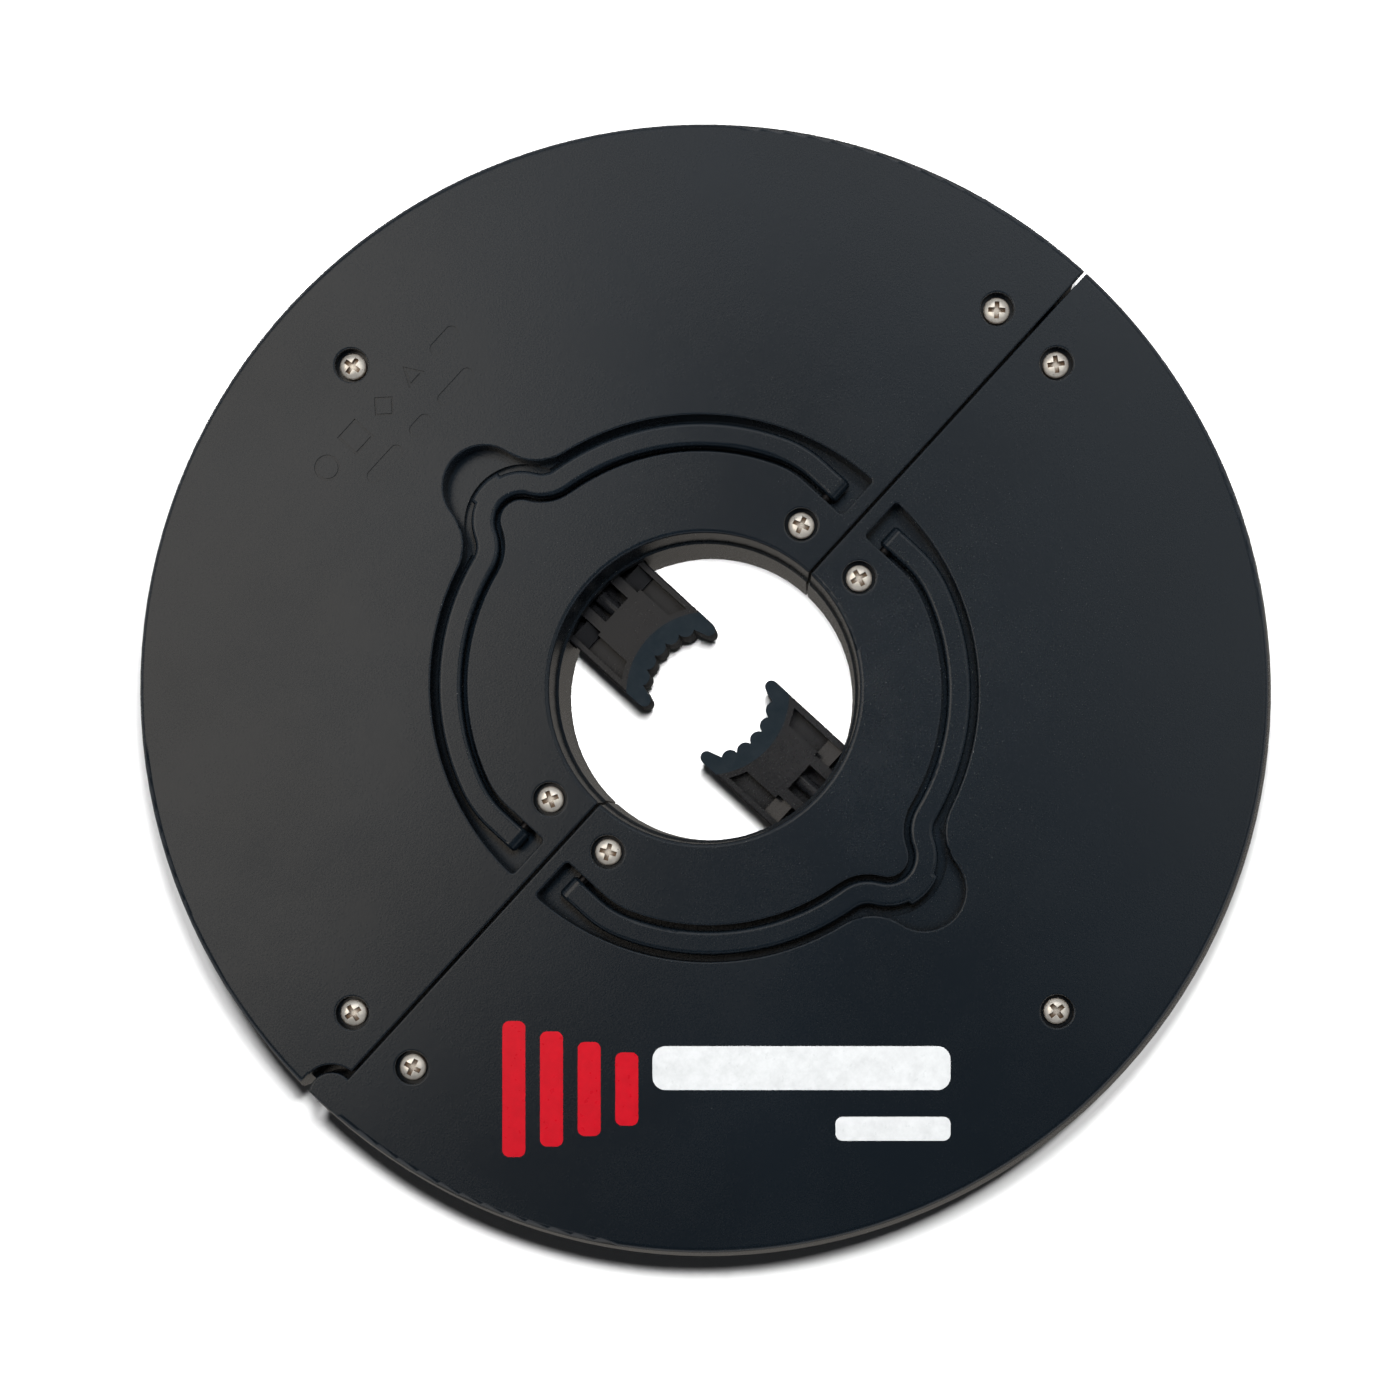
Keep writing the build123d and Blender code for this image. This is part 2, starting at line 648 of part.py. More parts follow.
def bottom_housing(half):
    rim = (OUTER_R, OUTER_R)
    shell = half_ring(rim, (HOLE_R_BASE, HOLE_R_SEAM), 0, SEAM_Z)
    base_arcs = shell.edges().filter_by(GeomType.CIRCLE).group_by(Axis.Z)[0].sort_by(SortBy.RADIUS)
    shell = chamfer(base_arcs[-1], BASE_CHAMFER)

    kept = [disc(HOUSING_BOSS_R, WALL, SEAM_Z, place) for place in SCREW_PLACES]
    kept += [tunnel_block(), battery_bay(), magnet_cradle()]
    kept += [ring_sector(rest, BOARD_END_ANGLE, WALL, BOARD_Z[0]) for rest in BOARD_RESTS]
    if half == "a":
        kept.append(hinge_recess_wall(WALL, SEAM_Z))
        kept.append(notch_wall(WALL, SEAM_Z))
    else:
        kept.append(hinge_disc(KNUCKLE_CLEAR_R + RECESS_WALL, WALL, SEAM_Z))
        kept.append(button_posts())
    housing = shell - (inner_space(rim, HOLE_R_SEAM + WALL, WALL, SEAM_Z) - solid_of(kept))

    cuts = [jaw_channel()]
    cuts += [disc(SCREW_BORE_R, WALL, SEAM_Z, place) for place in SCREW_PLACES]
    cuts += [disc(SMALL_BORE_R, WALL, RETAINER_Z[0], place) for place in RETAINER_SCREWS]
    cuts.append(battery_door_opening())
    cuts.append(ring_sector(LENS_R, LENS_END_ANGLE, 0, WALL))
    cuts.append(magnet_space(PIN_RUN_CLEAR))
    cuts.append(notch_cut(half, 0, SEAM_Z))
    if half == "a":
        cuts.append(hinge_recess(0, SEAM_Z))
        housing = housing - solid_of(cuts)
        return housing + hinge_knuckle() + split_tongue()
    cuts.append(disc(BUTTON_HOLE_R, 0, WALL, (BUTTON_X, BUTTON_Y)))
    cuts.append(disc(BUTTON_DISH_R, 0, BUTTON_DISH_DEPTH, (BUTTON_X, BUTTON_Y)))
    cuts.append(hinge_disc(KNUCKLE_CLEAR_R, LOWER_LUG_TOP, SEAM_Z))
    cuts.append(split_groove())
    housing = housing - solid_of(cuts) + hinge_disc(LUG_R, 0, LOWER_LUG_TOP)
    return housing - hinge_disc(HINGE_PIN_R + PIN_SEAT_CLEAR, 0, LOWER_LUG_TOP)


def hinge_knuckle():
    """Half "a"'s knuckle, on a web that half "b" never sweeps."""
    web = block(WEB_X, (0, RECESS_R + RECESS_WALL / 2), KNUCKLE_Z)
    knuckle = hinge_disc(KNUCKLE_R, *KNUCKLE_Z) + web
    return knuckle - hinge_disc(HINGE_PIN_R + PIN_RUN_CLEAR, *KNUCKLE_Z)


def split_tongue():
    """The tongue that lines the halves up where they close."""
    return block(TONGUE_X, (-TONGUE_REACH, HALF_GAP), TONGUE_Z)


def split_groove():
    """The opening that takes the tongue, drawn on the +Y side."""
    x_range = (TONGUE_X[0] - TONGUE_CLEAR, TONGUE_X[1] + TONGUE_CLEAR)
    z_range = (TONGUE_Z[0] - TONGUE_CLEAR, TONGUE_Z[1] + TONGUE_CLEAR)
    return block(x_range, (0, HALF_GAP + WALL), z_range)


def cover_screws():
    screw = pan_screw(SCREW_HEAD_R, SCREW_HEAD_H, SCREW_SHANK_R, SCREW_LENGTH, RECESS_CROSS)
    seat = THICKNESS - COUNTERBORE_DEPTH
    placed = zip(SCREW_PLACES, SCREW_TURNS)
    return group([Pos(x, y, seat) * Rot(0, 0, turn) * screw for (x, y), turn in placed])


def hinge_pin():
    return hinge_disc(HINGE_PIN_R, *HINGE_PIN_Z)


def hanger():
    """The bail: a flat band with rounded edges, a finger tab and half-round pivot ends."""
    outer = hanger_side(HANGER_HALF_WIDTH, HANGER_PIVOT_Y)
    inner = hanger_side(-HANGER_HALF_WIDTH, HANGER_PIVOT_Y)
    band = slab(mirrored_outline(outer, inner), *HANGER_Z)
    centre = (HANGER_BUMP_CENTRE.X, HANGER_BUMP_CENTRE.Y)
    tab_r = HANGER_BUMP_R + HANGER_HALF_WIDTH + TAB_PROUD
    tab_sides = block((-TAB_HALF_WIDTH, TAB_HALF_WIDTH), (centre[1] + HANGER_BUMP_R, OUTER_R), HANGER_Z)
    tab = disc(tab_r, *HANGER_Z, centre) & tab_sides
    band = band + fillet(tab.edges().filter_by(Axis.Z), TAB_ROUND)
    long_edges = band.edges().group_by(Axis.Z)[-1] + band.edges().group_by(Axis.Z)[0]
    long_edges = long_edges.filter_by(lambda edge: edge.center().Y > HANGER_PIVOT_Y + EDGE_TOLERANCE)
    band = fillet(long_edges, HANGER_ROUND)
    end_r = (HANGER_Z[1] - HANGER_Z[0]) / 2
    for side in (-1, 1):
        end = Rot(0, 90, 0) * Cylinder(end_r, 2 * HANGER_HALF_WIDTH)
        end = chamfer(end.edges().filter_by(GeomType.CIRCLE), HANGER_ROUND / 2)
        band = band + Pos(side * HANGER_LEG_X, HANGER_PIVOT_Y, sum(HANGER_Z) / 2) * end
    return band - solid_of(hanger_pin_bores(HANGER_PIN_R + PIN_SEAT_CLEAR))


def hanger_pins():
    return group(hanger_pin_bores(HANGER_PIN_R))


def ramp(side):
    """The sloped block on the floor of a jaw's rear pocket."""
    y_low = POCKET_STEP_Y
    y_high = y_low + RAMP_LENGTH
    corners = [(y_low, JAW_Z[0]), (y_low, RAMP_Z[0]), (y_high, RAMP_Z[1]), (y_high, JAW_Z[0])]
    outline = Polyline(*corners, close=True)
    width = JAW_HALF_WIDTH - JAW_RAIL - POCKET_BACK_X
    start = POCKET_BACK_X if side > 0 else -POCKET_BACK_X - width
    return Pos(start, 0, 0) * extrude(Plane.YZ * make_face(outline), amount=width, dir=(1, 0, 0))


def jaw_slide():
    """The jaw's moulding: ribbed, with a floor, side pockets, a middle window and a spring post."""
    half_width = JAW_HALF_WIDTH
    body = block((-half_width, half_width), (JAW_FRONT_Y, JAW_BACK_Y), JAW_Z)
    body = body - disc(JAW_FACE_R, *JAW_Z)
    body = fillet(body.edges().group_by(Axis.Z)[-1].filter_by(GeomType.LINE), JAW_ROUND)
    open_z = (JAW_Z[0] + JAW_FLOOR, JAW_Z[1])
    pocket_end = JAW_BACK_Y - JAW_BRIDGE
    rail_x = half_width - JAW_RAIL
    cuts = [block((-WINDOW_HALF_WIDTH, WINDOW_HALF_WIDTH), (WINDOW_FRONT_Y, pocket_end), open_z)]
    for side in (-1, 1):
        front_x = sorted((side * POCKET_FRONT_X, side * rail_x))
        back_x = sorted((side * POCKET_BACK_X, side * rail_x))
        for z_range in ((JAW_Z[0], POCKET_WEB_Z[0]), (POCKET_WEB_Z[1], JAW_Z[1])):
            front = block(front_x, (JAW_FRONT_Y, POCKET_STEP_Y), z_range)
            cuts.append(front - disc(POCKET_FRONT_R, *JAW_Z))
        cuts.append(block(back_x, (POCKET_STEP_Y, pocket_end), open_z))
    body = body - solid_of(cuts) + ramp(-1) + ramp(1)
    post_length = POST_END_Y - WINDOW_FRONT_Y
    post_place = Pos(0, WINDOW_FRONT_Y + post_length / 2, POST_Z)
    post = post_place * Rot(90, 0, 0) * Cylinder(POST_R, post_length)
    stop = block((-STOP_HALF_WIDTH, STOP_HALF_WIDTH), STOP_Y, (STOP_Z, JAW_Z[0]))
    return body + post + stop - pad_key(PIN_RUN_CLEAR)


def pad_key(clear):
    """The rib on the pad's back that locks it to the jaw."""
    z_low, z_high = PAD_KEY_Z[0] - clear, PAD_KEY_Z[1] + clear
    rib = disc(PAD_KEY_R + clear, z_low, z_high) - disc(JAW_FACE_R - PAD_KEY_ROOT, z_low, z_high)
    half_width = PAD_KEY_HALF_WIDTH + clear
    return rib & block((-half_width, half_width), (0, PAD_KEY_R + clear), (z_low, z_high))


def jaw_pad():
    """The rubber facing: a curved band with rounded bumps and a horn at each end."""
    face = Circle(JAW_FACE_R) - Circle(PAD_FACE_R)
    clip_low = PAD_HORN_TIP[1]
    clip_height = JAW_FACE_R - clip_low
    face = face & Pos(0, clip_low + clip_height / 2) * Rectangle(2 * JAW_HALF_WIDTH, clip_height)
    for step in range(-PAD_BUMPS_EACH_SIDE, PAD_BUMPS_EACH_SIDE + 1):
        angle = math.radians(step * PAD_BUMP_STEP)
        place = Pos(PAD_BUMP_RING_R * math.sin(angle), PAD_BUMP_RING_R * math.cos(angle))
        face = face + place * Circle(PAD_BUMP_R)
    for side in (-1, 1):
        rounds = [Pos(side * x, y) * Circle(radius) for x, y, radius in (PAD_HORN_TIP, PAD_HORN_ROOT)]
        face = face + make_hull(rounds[0].edges() + rounds[1].edges())
    return slab(face, *JAW_Z) + pad_key(0)


def jaw_spring():
    length = TUNNEL_END_Y - JAW_BACK_Y - 2 * SPRING_WIRE_R
    spring = coil(SPRING_R, SPRING_WIRE_R, SPRING_TURNS, length)
    return Pos(0, JAW_BACK_Y + SPRING_WIRE_R, POST_Z) * Rot(-90, 0, 0) * spring


def jaw_retainer():
    plate = block((-RETAINER_HALF_WIDTH, RETAINER_HALF_WIDTH), RETAINER_Y, RETAINER_Z)
    plate = fillet(plate.edges().filter_by(Axis.Z), RETAINER_CORNER_R)
    return plate - solid_of([disc(SMALL_BORE_R, *RETAINER_Z, place) for place in RETAINER_SCREWS])


def retainer_screws():
    screw = pan_screw(SMALL_HEAD_R, SMALL_HEAD_H, SMALL_SCREW_R, SMALL_SCREW_LENGTH, SMALL_CROSS)
    return group([Pos(x, y, RETAINER_Z[1]) * screw for x, y in RETAINER_SCREWS])


def latch_magnet():
    return magnet_space(0)


def led_lens():
    """A diffusing strip that fills the slot in the floor, with a flange inside."""
    radii = (LENS_R[0] + LENS_CLEAR, LENS_R[1] - LENS_CLEAR)
    flange_radii = (LENS_R[0] - LENS_FLANGE, LENS_R[1] + LENS_FLANGE)
    strip = ring_sector(radii, LENS_END_ANGLE + LENS_END_CLEAR, LENS_Z[0], LENS_Z[1])
    return strip + ring_sector(flange_radii, LENS_END_ANGLE - LENS_FLANGE_ANGLE, LENS_Z[1], LENS_Z[2])


def led_board():
    return ring_sector(BOARD_R, BOARD_END_ANGLE, *BOARD_Z)


def led_chips():
    span = 180 - 2 * BOARD_END_ANGLE
    length, width, height = LED_SIZE
    chip = Pos(LED_R, 0, BOARD_Z[0] - height) * Box(width, length, height, align=ON_BASE)
    angles = [BOARD_END_ANGLE + span * (index + 0.5) / LED_COUNT for index in range(LED_COUNT)]
    return group([Rot(0, 0, angle) * chip for angle in angles])


def cell():
    """One AA cell along +X from the origin, its cap leading."""
    case = Cylinder(CELL_R, CELL_LENGTH, align=ON_BASE)
    case = fillet(case.edges().filter_by(GeomType.CIRCLE), CELL_EDGE_ROUND)
    cap = disc(CELL_CAP_R, CELL_LENGTH, CELL_LENGTH + CELL_CAP_LENGTH)
    return Rot(0, 90, 0) * (case + cap)


def batteries():
    return group([Pos(start, CELL_Y, CELL_Z) * cell() for start in CELL_STARTS])


def contact_x():
    """How far out from the middle the contact plates' inner faces are."""
    return CELL_STARTS[1] + CELL_LENGTH + CELL_CAP_LENGTH + CONTACT_GAP


def contact_plate(side):
    thickness, width, height = CONTACT_SIZE
    inner = contact_x()
    x_range = sorted((side * inner, side * (inner + thickness)))
    y_range = (CELL_Y - width / 2, CELL_Y + width / 2)
    return block(x_range, y_range, (CONTACT_BASE_Z, CONTACT_BASE_Z + height))


def battery_contacts():
    return group([contact_plate(-1), contact_plate(1)])


def battery_spring():
    """The coil that presses the row of cells against the far contact."""
    start = CELL_SPRING_WIRE_R + CONTACT_GAP / 2 - contact_x()
    length = CELL_STARTS[0] - CELL_SPRING_WIRE_R - CONTACT_GAP / 2 - start
    spring = coil(CELL_SPRING_R, CELL_SPRING_WIRE_R, CELL_SPRING_TURNS, length)
    return Pos(start, CELL_Y, CELL_Z) * Rot(0, 90, 0) * spring


def battery_door():
    """A flush plate with inner ribs and a finger catch."""
    half_length = BAY_HALF_LENGTH + DOOR_OVERLAP - DOOR_CLEAR
    half_width = BAY_HALF_WIDTH + BAY_WALL - DOOR_CLEAR
    plate = bay_frame(half_length, half_width, 0, DOOR_THICKNESS)
    plate = fillet(plate.edges().filter_by(Axis.Z), RIM_ROUND)
    rib_length = BAY_HALF_LENGTH - 2 * DOOR_CLEAR
    rib_width = BAY_HALF_WIDTH - 2 * DOOR_CLEAR
    rib_top = DOOR_THICKNESS + DOOR_RIB
    ribs = bay_frame(rib_length, rib_width, DOOR_THICKNESS, rib_top)
    ribs = ribs - bay_frame(rib_length - DOOR_RIB, rib_width - DOOR_RIB, DOOR_THICKNESS, rib_top)
    grips = []
    for index in range(GRIP_COUNT):
        y_low = CELL_Y + GRIP_START + GRIP_STEP * index
        reach = GRIP_HALF_WIDTH - GRIP_NARROWING * index
        grips.append(block((-reach, reach), (y_low, y_low + GRIP_SIZE[0]), (0, GRIP_SIZE[1])))
    return plate + ribs - solid_of(grips)


def wire(points):
    path = FilletPolyline(*points, radius=WIRE_BEND_R)
    section = Plane(origin=path @ 0, z_dir=path % 0) * Circle(WIRE_R)
    return sweep(section, path=path)


def wire_harness():
    """Leads from both end contacts down to the LED board."""
    leads = []
    start_x = BAY_HALF_LENGTH + BAY_WALL + WIRE_R
    land_x, land_y = WIRE_LAND
    for side in (-1, 1):
        route = [
            (side * start_x, CELL_Y, WIRE_Z),
            (side * (start_x + WIRE_RUN), CELL_Y, WIRE_Z),
            (side * land_x, land_y, WIRE_Z - WIRE_BEND_R),
            (side * land_x, land_y, BOARD_Z[1]),
        ]
        leads.append(wire(route))
    return group(leads)


def power_button():
    """The button's cap, flange and stem, with a ring groove in its face."""
    face_z, flange_z, stem_z, top_z = BUTTON_Z
    centre = (BUTTON_X, BUTTON_Y)
    cap = disc(BUTTON_R, face_z, flange_z, centre)
    cap = fillet(cap.edges().filter_by(GeomType.CIRCLE).group_by(Axis.Z)[0], BUTTON_RING_DEPTH)
    flange = disc(BUTTON_FLANGE_R, flange_z, stem_z, centre)
    stem = disc(BUTTON_STEM_R, stem_z, top_z, centre)
    groove_z = (face_z, face_z + BUTTON_RING_DEPTH)
    groove = disc(BUTTON_RING_R[1], *groove_z, centre) - disc(BUTTON_RING_R[0], *groove_z, centre)
    return cap + flange + stem - groove


def button_spring():
    length = SWITCH_BOARD_Z - BUTTON_Z[2] - 2 * BUTTON_SPRING_WIRE_R
    spring = coil(BUTTON_SPRING_R, BUTTON_SPRING_WIRE_R, BUTTON_SPRING_TURNS, length)
    return Pos(BUTTON_X, BUTTON_Y, BUTTON_Z[2] + BUTTON_SPRING_WIRE_R) * spring


def switch_board():
    length, width, thickness = SWITCH_BOARD_SIZE
    board = Pos(BUTTON_X, BUTTON_Y, SWITCH_BOARD_Z) * Box(length, width, thickness, align=ON_BASE)
    for side in (-1, 1):
        place = (BUTTON_X + side * BOARD_POST_X, BUTTON_Y)
        board = board - disc(BOARD_PIN_R + PIN_RUN_CLEAR, SWITCH_BOARD_Z, BOARD_PIN_TOP, place)
    return board


def tact_switch():
    length, width, height = SWITCH_BODY
    base_z = SWITCH_BOARD_Z - height
    body = Pos(BUTTON_X, BUTTON_Y, base_z) * Box(length, width, height, align=ON_BASE)
    return body + disc(PLUNGER_R, base_z - PLUNGER_LENGTH, base_z, (BUTTON_X, BUTTON_Y))


def switch_leads():
    """Leads from the battery bay to the switch board."""
    leads = []
    end_y = BUTTON_Y + BOARD_PIN_R
    board_top = SWITCH_BOARD_Z + SWITCH_BOARD_SIZE[2]
    for x in (BUTTON_X - LEAD_SPACING, BUTTON_X + LEAD_SPACING):
        leads.append(wire([(x, LEAD_START_Y, WIRE_Z), (x, end_y, WIRE_Z), (x, end_y, board_top)]))
    return group(leads)


# ---- assembly ----

PAIRED = {
    "cover_screws": cover_screws,
    "hanger": hanger,
    "hanger_pins": hanger_pins,
    "jaw_slide": jaw_slide,
    "jaw_pad": jaw_pad,
    "jaw_spring": jaw_spring,
    "jaw_retainer": jaw_retainer,
    "retainer_screws": retainer_screws,
    "latch_magnet": latch_magnet,
    "led_lens": led_lens,
    "led_board": led_board,
    "led_chips": led_chips,
    "batteries": batteries,
    "battery_contacts": battery_contacts,
    "battery_spring": battery_spring,
    "battery_door": battery_door,
    "wire_harness": wire_harness,
}
ONLY_IN_B = {
    "hinge_pin": hinge_pin,
    "power_button": power_button,
    "button_spring": button_spring,
    "switch_board": switch_board,
    "tact_switch": tact_switch,
    "switch_leads": switch_leads,
}


def sub_parts():
    """Every sub-part by name, in its place."""
    nodes = {}
    for half in ("a", "b"):
        nodes["top_cover_" + half] = to_half(top_cover(half), half)
        nodes["bottom_housing_" + half] = to_half(bottom_housing(half), half)
    for name, make in PAIRED.items():
        shape = make()
        for half in ("a", "b"):
            nodes[name + "_" + half] = to_half(shape, half)
    for name, make in ONLY_IN_B.items():
        nodes[name] = to_half(make(), "b")
    return nodes


os.makedirs("parts", exist_ok=True)
for node_name, node_shape in sub_parts().items():
    export_step(node_shape, os.path.join("parts", node_name + ".step"))
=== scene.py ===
import json
import math

import bmesh
import bpy
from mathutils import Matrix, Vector


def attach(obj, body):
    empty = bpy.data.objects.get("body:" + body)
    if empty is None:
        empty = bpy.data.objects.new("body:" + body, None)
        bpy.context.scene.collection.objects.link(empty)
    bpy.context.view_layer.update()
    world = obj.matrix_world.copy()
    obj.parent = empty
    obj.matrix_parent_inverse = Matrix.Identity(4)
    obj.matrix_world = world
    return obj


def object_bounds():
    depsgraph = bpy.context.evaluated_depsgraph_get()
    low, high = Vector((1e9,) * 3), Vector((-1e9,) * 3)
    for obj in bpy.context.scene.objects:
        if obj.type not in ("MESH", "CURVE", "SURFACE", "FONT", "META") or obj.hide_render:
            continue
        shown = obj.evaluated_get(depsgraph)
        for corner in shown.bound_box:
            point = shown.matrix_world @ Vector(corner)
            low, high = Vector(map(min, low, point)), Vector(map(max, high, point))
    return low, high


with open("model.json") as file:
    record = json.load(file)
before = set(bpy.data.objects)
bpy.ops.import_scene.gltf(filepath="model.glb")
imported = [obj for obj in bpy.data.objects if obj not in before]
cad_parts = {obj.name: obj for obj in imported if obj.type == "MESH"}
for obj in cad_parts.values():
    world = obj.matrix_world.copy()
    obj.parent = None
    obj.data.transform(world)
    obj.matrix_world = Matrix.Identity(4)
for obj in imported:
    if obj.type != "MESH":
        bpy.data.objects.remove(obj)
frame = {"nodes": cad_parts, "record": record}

CAD_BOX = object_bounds()
TOP_Z = CAD_BOX[1].z
MM = 0.001

# ---- camera: straight above, off to one side of the ring, as a hand holds it ----

CAMERA_FOOT = Vector((-0.011, -0.045))
CAMERA_RISE = 0.450
CAMERA_TURN = math.radians(-47.52)
CAMERA_LENS = 60.52
CAMERA_SHIFT = (-0.0993, 0.1354)
CAMERA_NEAR = 0.01

# directions in the picture, laid flat on the floor
PICTURE_RIGHT = Vector((math.cos(CAMERA_TURN), math.sin(CAMERA_TURN), 0.0))
PICTURE_UP = Vector((-math.sin(CAMERA_TURN), math.cos(CAMERA_TURN), 0.0))
UP = Vector((0.0, 0.0, 1.0))


def make_camera():
    data = bpy.data.cameras.new("camera")
    data.lens = CAMERA_LENS
    data.shift_x, data.shift_y = CAMERA_SHIFT
    data.clip_start = CAMERA_NEAR
    camera = bpy.data.objects.new("camera", data)
    camera.location = (CAMERA_FOOT.x, CAMERA_FOOT.y, TOP_Z + CAMERA_RISE)
    camera.rotation_euler = (0.0, 0.0, CAMERA_TURN)
    bpy.context.scene.collection.objects.link(camera)
    bpy.context.scene.camera = camera


# ---- shader helpers ----

# nearly all of a noise's values lie between these
NOISE_RANGE = (0.3, 0.7)
CREVICE_SAMPLES = 4


class Shader:
    """A Principled material, with short ways to add the nodes that feed it."""

    def __init__(self, name, color, roughness, **sockets):
        self.material = bpy.data.materials.new(name)
        self.material.use_nodes = True
        self.tree = self.material.node_tree
        self.surface = self.tree.nodes["Principled BSDF"]
        self.place = self.node("ShaderNodeTexCoord").outputs["Object"]
        self.surface.inputs["Base Color"].default_value = (*color, 1.0)
        self.surface.inputs["Roughness"].default_value = roughness
        for socket, value in sockets.items():
            self.surface.inputs[socket.replace("_", " ")].default_value = value

    def node(self, kind, **settings):
        made = self.tree.nodes.new(kind)
        for key, value in settings.items():
            setattr(made, key, value)
        return made

    def link(self, source, target):
        self.tree.links.new(source, target)

    def noise(self, scale, detail=2.0, roughness=0.5):
        made = self.node("ShaderNodeTexNoise")
        made.inputs["Scale"].default_value = scale
        made.inputs["Detail"].default_value = detail
        made.inputs["Roughness"].default_value = roughness
        self.link(self.place, made.inputs["Vector"])
        return made.outputs["Fac"]

    def specks(self, scale, size):
        """1 in the middle of scattered small dots, 0 outside them."""
        cells = self.node("ShaderNodeTexVoronoi")
        cells.inputs["Scale"].default_value = scale
        self.link(self.place, cells.inputs["Vector"])
        return self.ramp(cells.outputs["Distance"], 0.0, size, 1.0, 0.0)

    def crevice_shade(self, reach, open_at, closed_at):
        """1 in a corner or gap that ambient occlusion finds closed in, 0 on open surface; reach in
        metres. It marks where shade, and on metal brown dirt, is painted into a colour.
        """
        made = self.node("ShaderNodeAmbientOcclusion", samples=CREVICE_SAMPLES)
        made.inputs["Distance"].default_value = reach
        return self.ramp(made.outputs["AO"], closed_at, open_at, 1.0, 0.0)

    def ramp(self, value, low, high, out_low=0.0, out_high=1.0):
        """Takes low to out_low and high to out_high, and holds those beyond."""
        made = self.node("ShaderNodeMapRange")
        made.inputs["From Min"].default_value = low
        made.inputs["From Max"].default_value = high
        made.inputs["To Min"].default_value = out_low
        made.inputs["To Max"].default_value = out_high
        self.link(value, made.inputs["Value"])
        return made.outputs["Result"]

    def spread(self, noise, out_low=0.0, out_high=1.0):
        """Stretches a noise's usual range over two values."""
        return self.ramp(noise, *NOISE_RANGE, out_low, out_high)

    def math(self, operation, first, second):
        """A sum or product of two, each a number or another node's output."""
        made = self.node("ShaderNodeMath", operation=operation)
        for socket, value in zip(made.inputs, (first, second)):
            if isinstance(value, (int, float)):
                socket.default_value = value
            else:
                self.link(value, socket)
        return made.outputs["Value"]

    def mix(self, amount, first, second):
        """A colour between two, each a colour or another node's output."""
        made = self.node("ShaderNodeMix", data_type="RGBA")
        self.link(amount, made.inputs["Factor"])
        for socket, value in (("A", first), ("B", second)):
            target = [i for i in made.inputs if i.name == socket and i.type == "RGBA"][0]
            if isinstance(value, tuple):
                target.default_value = (*value, 1.0)
            else:
                self.link(value, target)
        return [o for o in made.outputs if o.type == "RGBA"][0]

    def color(self, source):
        self.link(source, self.surface.inputs["Base Color"])

    def roughness(self, source):
        self.link(source, self.surface.inputs["Roughness"])

    def bump(self, layers):
        """Stacked bumps, each (height, depth in metres, strength)."""
        normal = None
        for height, depth, strength in layers:
            made = self.node("ShaderNodeBump")
            made.inputs["Distance"].default_value = depth
            made.inputs["Strength"].default_value = strength
            self.link(height, made.inputs["Height"])
            if normal is not None:
                self.link(normal, made.inputs["Normal"])
            normal = made.outputs["Normal"]
        self.link(normal, self.surface.inputs["Normal"])


# ---- materials: colours, and sizes in metres ----

SHELL = (0.0025, 0.0041, 0.0060)
JAW_GREY = (0.0046, 0.0048, 0.0055)
NICKEL = (0.95, 0.90, 0.82)
BLACKENED = (0.06, 0.06, 0.065)
DRAWN_WIRE = (0.50, 0.50, 0.50)
MAGNET_NICKEL = (0.62, 0.62, 0.64)
CONTACT_NICKEL = (0.66, 0.65, 0.60)
BOARD_WHITE = (0.72, 0.74, 0.72)
INK_RED = (0.31, 0.0024, 0.0085)
INK_WHITE = (0.44, 0.45, 0.455)
DUST_GREY = (0.35, 0.36, 0.38)

PAD_BLACK = (0.006, 0.009, 0.012)
PAD_DEEP = (0.0050, 0.0082, 0.0110)
PAD_BLOOM = (0.0095, 0.0130, 0.0165)
LENS_WHITE = (0.80, 0.82, 0.82)
LENS_COOL = (0.74, 0.77, 0.77)
LENS_WARM = (0.86, 0.87, 0.85)
PHOSPHOR = (0.85, 0.72, 0.25)
PHOSPHOR_DARK = (0.80, 0.66, 0.20)
PHOSPHOR_PALE = (0.90, 0.80, 0.38)
SLEEVE_GREEN = (0.02, 0.09, 0.05)
SLEEVE_SCUFF = (0.10, 0.16, 0.12)
WIRE_RED = (0.42, 0.02, 0.02)
WIRE_DARK = (0.36, 0.015, 0.015)
WIRE_PALE = (0.50, 0.03, 0.025)

FINE_DEPTH = 0.00003
PLASTIC_IOR = 1.5
LENS_IOR = 1.49
LENS_SCATTER = 0.002
PATCH_TINT = 1.25
TRACK_TINT = 1.15
TRACK_SCALE = 260.0
# painted shade in the plastics' gaps: how far it reaches in metres, and the share of the colour left
# there
GAP_REACH = 0.0022
GAP_SHADE = 0.25
# brown dirt and painted shade in metal recesses: how far they reach in metres, and the share of each
# channel left there
GRIME_AND_SHADE_REACH = 0.0010
GRIME_AND_SHADE_SHARES = (0.17, 0.12, 0.085)
TARNISH_SHADE = 0.55
SCRATCH_SCALE = 900.0
INK_WEAR = 0.82


def scaled(color, share):
    """A colour made lighter or darker by one factor."""
    return tuple(channel * share for channel in color)


